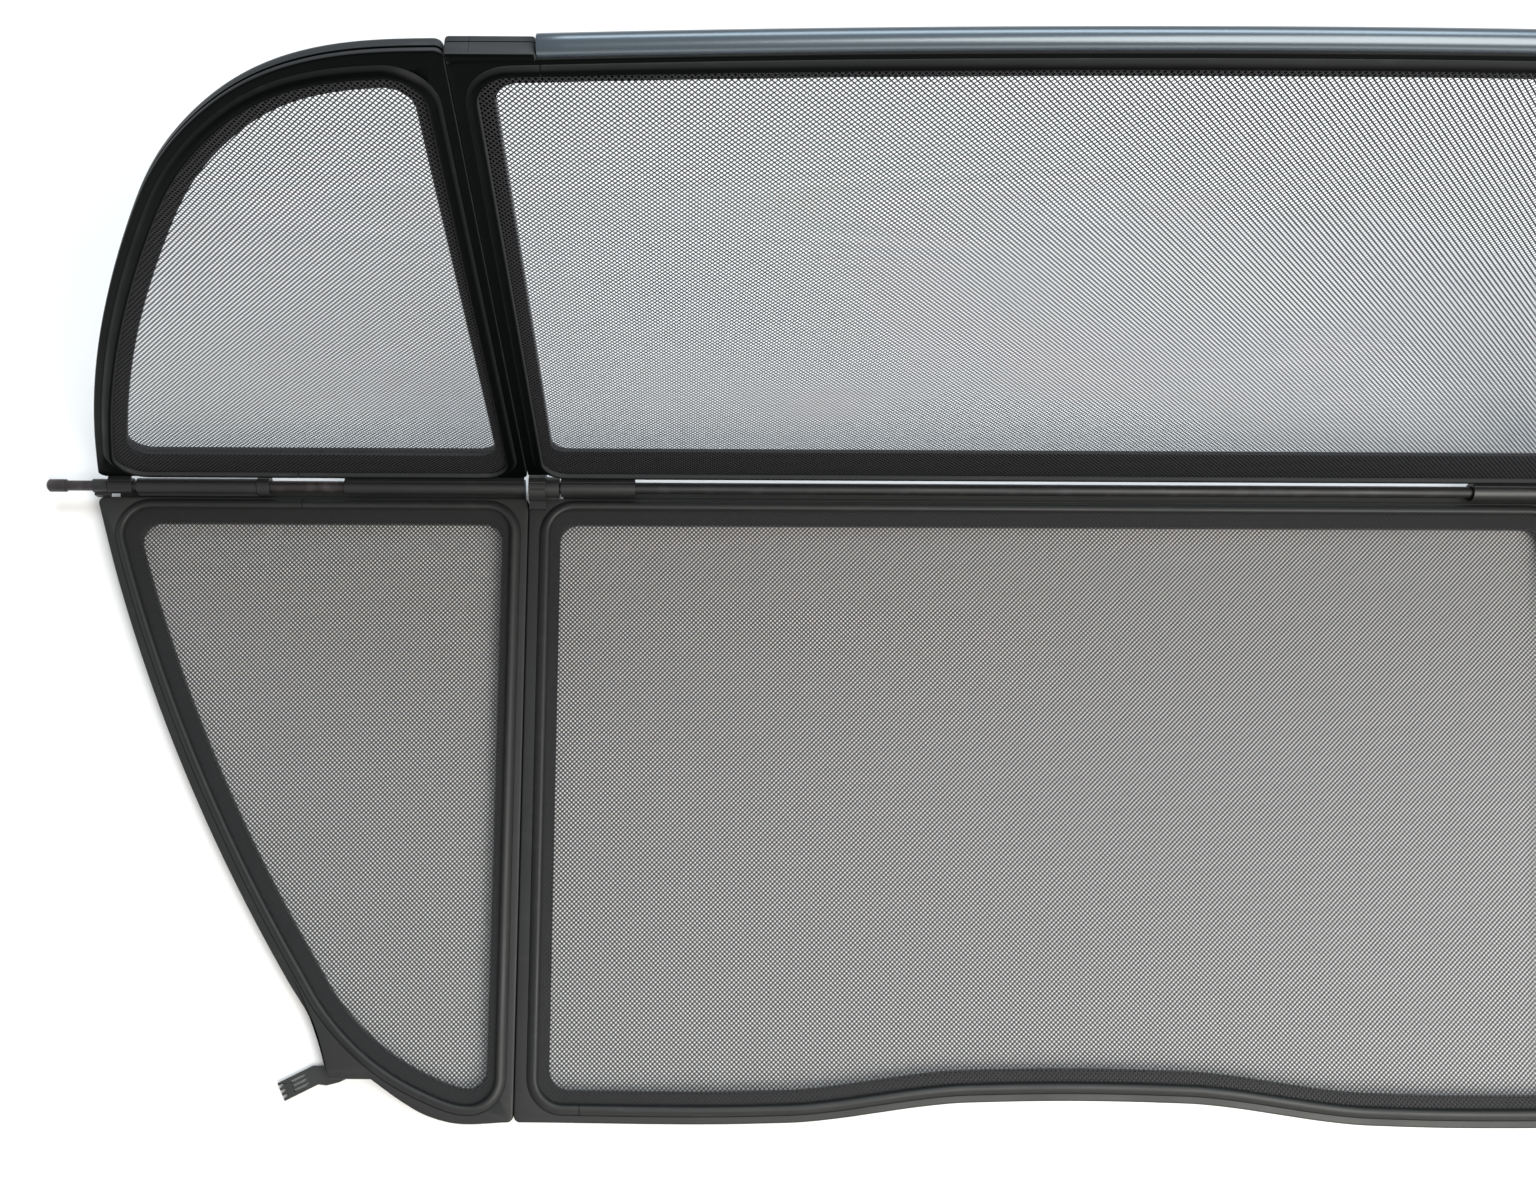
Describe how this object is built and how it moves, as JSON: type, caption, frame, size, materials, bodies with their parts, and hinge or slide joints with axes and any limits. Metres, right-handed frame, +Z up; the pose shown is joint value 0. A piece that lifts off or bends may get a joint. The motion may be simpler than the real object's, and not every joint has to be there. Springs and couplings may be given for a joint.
{
  "type": "wind deflector screen",
  "caption": "Folding mesh wind screen: a lower panel and a raised upper panel on one axle, with fold-under wings, sprung locking pins and swinging corner clips.",
  "frame": {"origin": "underside of the lower centre frame's axle rail, in the middle of the width", "axes": "+X along the axle to the right, the lower panel runs towards -Y, +Z up out of its mesh face"},
  "size_m": [1.406, 0.5365, 0.4007],
  "materials": {
    "lower_frame_plastic": "satin moulded, fine grain",
    "lower_bead_plastic": "satin moulded, fine grain",
    "upper_frame_plastic": "satin moulded",
    "upper_bead_plastic": "satin moulded",
    "gloss_tube": "glossy",
    "mesh_fabric": "open diagonal mesh",
    "axle_steel": "black, satin gloss",
    "pin_steel": "dark, worn satin",
    "spring_steel": "drawn wire",
    "hinge_steel": "black, satin",
    "sleeve_plastic": "satin moulded",
    "axle_plastic": "satin moulded",
    "clip_plastic": "satin moulded"
  },
  "bodies": {
    "lower_center": {"lower_center_frame": "lower_frame_plastic", "lower_center_retainer": "lower_bead_plastic", "lower_center_fabric": "mesh_fabric", "center_axle_rod": "axle_steel", "left_knuckle": "axle_plastic", "right_knuckle": "axle_plastic", "left_front_center_leaf": "hinge_steel", "left_rear_center_leaf": "hinge_steel", "right_front_center_leaf": "hinge_steel", "right_rear_center_leaf": "hinge_steel"},
    "upper_center": {"upper_center_frame": "upper_frame_plastic", "upper_center_retainer": "upper_bead_plastic", "upper_center_fabric": "mesh_fabric", "upper_top_tube": "gloss_tube", "left_end_block": "upper_frame_plastic", "right_end_block": "upper_frame_plastic", "left_center_sleeve": "sleeve_plastic", "right_center_sleeve": "sleeve_plastic"},
    "left_wing": {"left_lower_wing_frame": "lower_frame_plastic", "left_lower_wing_retainer": "lower_bead_plastic", "left_lower_wing_fabric": "mesh_fabric", "left_pin_collar": "axle_plastic", "left_spring_tube": "axle_plastic", "left_pin_spring": "spring_steel", "left_front_wing_leaf": "hinge_steel", "left_rear_wing_leaf": "hinge_steel", "left_clip_pivot": "hinge_steel"},
    "left_wing_upper": {"left_upper_wing_front_shell": "upper_frame_plastic", "left_upper_wing_back_shell": "upper_frame_plastic", "left_upper_wing_retainer": "upper_bead_plastic", "left_upper_wing_fabric": "mesh_fabric", "left_outer_bearing": "sleeve_plastic", "left_wing_sleeve": "sleeve_plastic"},
    "left_pin": {"left_locking_pin": "pin_steel", "left_finger_ring": "axle_plastic"},
    "left_clip": {"left_corner_clip": "clip_plastic"},
    "right_wing": {"right_lower_wing_frame": "lower_frame_plastic", "right_lower_wing_retainer": "lower_bead_plastic", "right_lower_wing_fabric": "mesh_fabric", "right_pin_collar": "axle_plastic", "right_spring_tube": "axle_plastic", "right_pin_spring": "spring_steel", "right_front_wing_leaf": "hinge_steel", "right_rear_wing_leaf": "hinge_steel", "right_clip_pivot": "hinge_steel"},
    "right_wing_upper": {"right_upper_wing_front_shell": "upper_frame_plastic", "right_upper_wing_back_shell": "upper_frame_plastic", "right_upper_wing_retainer": "upper_bead_plastic", "right_upper_wing_fabric": "mesh_fabric", "right_outer_bearing": "sleeve_plastic", "right_wing_sleeve": "sleeve_plastic"},
    "right_pin": {"right_locking_pin": "pin_steel", "right_finger_ring": "axle_plastic"},
    "right_clip": {"right_corner_clip": "clip_plastic"}
  },
  "joints": [
    {"name": "upper_panel_lean", "type": "hinge", "parent": "lower_center", "child": "upper_center", "pos_m": [0, 0.0155, 0.0126], "axis": [1, 0, 0], "range_deg": [-75, 104]},
    {"name": "left_wing_fold", "type": "hinge", "parent": "lower_center", "child": "left_wing", "pos_m": [-0.36675, 0, -0.002], "axis": [0, -1, 0], "range_deg": [0, 175]},
    {"name": "left_wing_lean", "type": "hinge", "parent": "left_wing", "child": "left_wing_upper", "pos_m": [-0.5, 0.0155, 0.0126], "axis": [1, 0, 0], "range_deg": [-75, 104]},
    {"name": "left_pin_slide", "type": "slide", "parent": "left_wing", "child": "left_pin", "axis": [1, 0, 0], "range_m": [0, 0.018], "stiffness_N_per_m": 250, "springref_m": -0.02, "deforming": ["left_pin_spring"]},
    {"name": "left_clip_swing", "type": "hinge", "parent": "left_wing", "child": "left_clip", "pos_m": [-0.48, -0.3755, -0.0003], "axis": [0, 0, -1], "range_deg": [0, 100]},
    {"name": "right_wing_fold", "type": "hinge", "parent": "lower_center", "child": "right_wing", "pos_m": [0.36675, 0, -0.002], "axis": [0, 1, 0], "range_deg": [0, 175]},
    {"name": "right_wing_lean", "type": "hinge", "parent": "right_wing", "child": "right_wing_upper", "pos_m": [0.5, 0.0155, 0.0126], "axis": [1, 0, 0], "range_deg": [-75, 104]},
    {"name": "right_pin_slide", "type": "slide", "parent": "right_wing", "child": "right_pin", "axis": [-1, 0, 0], "range_m": [0, 0.018], "stiffness_N_per_m": 250, "springref_m": -0.02, "deforming": ["right_pin_spring"]},
    {"name": "right_clip_swing", "type": "hinge", "parent": "right_wing", "child": "right_clip", "pos_m": [0.48, -0.3755, -0.0003], "axis": [0, 0, 1], "range_deg": [0, 100]}
  ],
  "couplings": [
    {"joint": "left_wing_lean", "follows": "upper_panel_lean", "ratio": 1},
    {"joint": "right_wing_lean", "follows": "upper_panel_lean", "ratio": 1}
  ]
}
